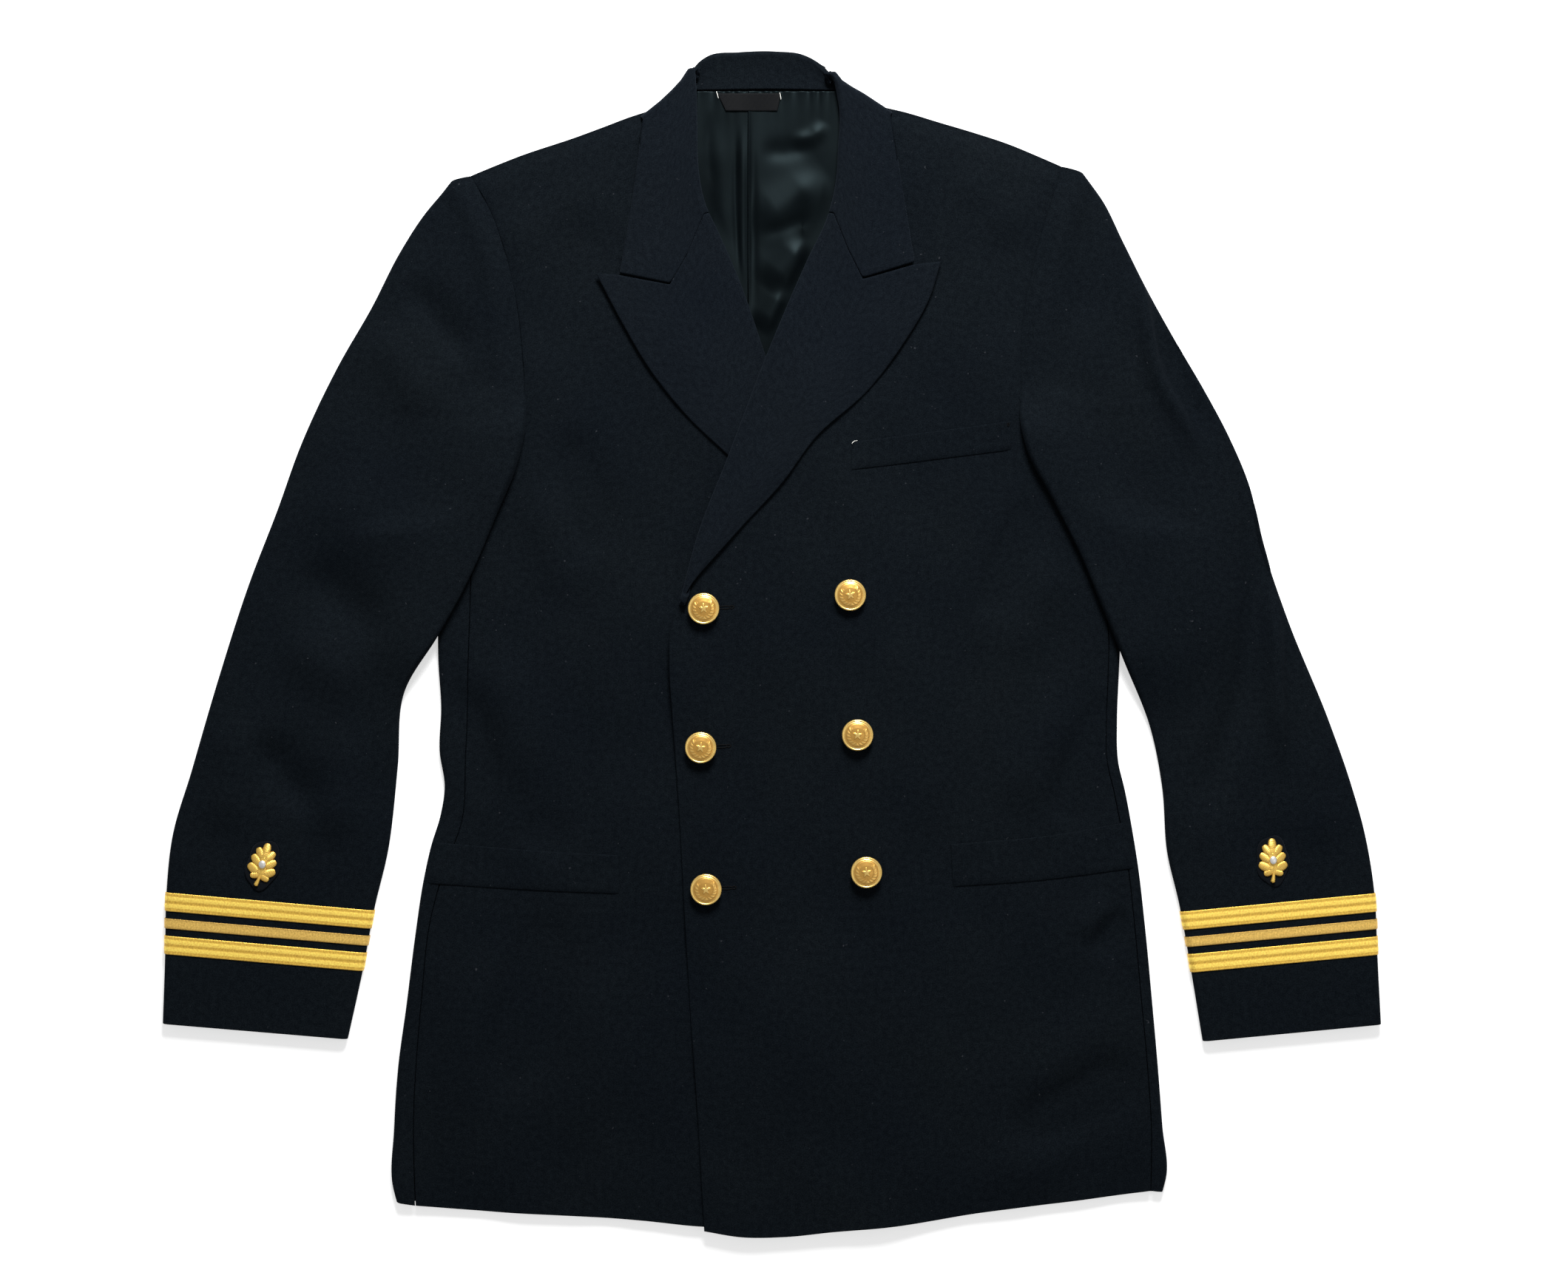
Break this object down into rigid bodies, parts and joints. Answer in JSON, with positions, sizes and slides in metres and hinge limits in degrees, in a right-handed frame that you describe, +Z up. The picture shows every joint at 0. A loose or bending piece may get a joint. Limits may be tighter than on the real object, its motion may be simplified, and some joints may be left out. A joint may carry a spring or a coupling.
{
  "type": "military blazer",
  "caption": "Double-breasted dark navy dress uniform jacket with peak lapels, gilt buttons and gold sleeve lace, laid flat with its front up.",
  "frame": {"origin": "on the surface that the jacket lies on, below the middle of its box", "axes": "+Z up, away from the surface; +Y towards the collar; +X towards the wearer's left, the right-hand side seen from above"},
  "size_m": [0.8649, 0.8414, 0.0225],
  "materials": {
    "wool": "matt dark navy wool serge with a fine twill",
    "satin": "black satin lining with a soft sheen",
    "label": "blank woven black label",
    "gilt": "polished gilt with darker recesses",
    "gilt_wire": "gilt embroidery wire",
    "lace": "woven gold lace with a metallic glint",
    "felt": "black felt",
    "silver": "burnished silver bead"
  },
  "bodies": {
    "root": {"back_right": "wool", "side_right": "wool", "front_right": "wool", "lapel_right": "wool", "sleeve_top_right": "wool", "sleeve_under_right": "wool", "lining_right": "satin", "lace_right_1": "lace", "lace_right_2": "lace", "lace_right_3": "lace", "leaf_patch_right": "felt", "leaf_right": "gilt_wire", "bead_right": "silver", "back_left": "wool", "side_left": "wool", "front_left": "wool", "lapel_left": "wool", "sleeve_top_left": "wool", "sleeve_under_left": "wool", "lining_left": "satin", "lace_left_1": "lace", "lace_left_2": "lace", "lace_left_3": "lace", "leaf_patch_left": "felt", "leaf_left": "gilt_wire", "bead_left": "silver", "collar_fall": "wool", "collar_stand": "wool", "breast_welt": "wool", "hip_welt_right": "wool", "hip_welt_left": "wool", "neck_label": "label", "button_1": "gilt", "button_2": "gilt", "button_3": "gilt", "button_4": "gilt", "button_5": "gilt", "button_6": "gilt"}
  },
  "joints": []
}
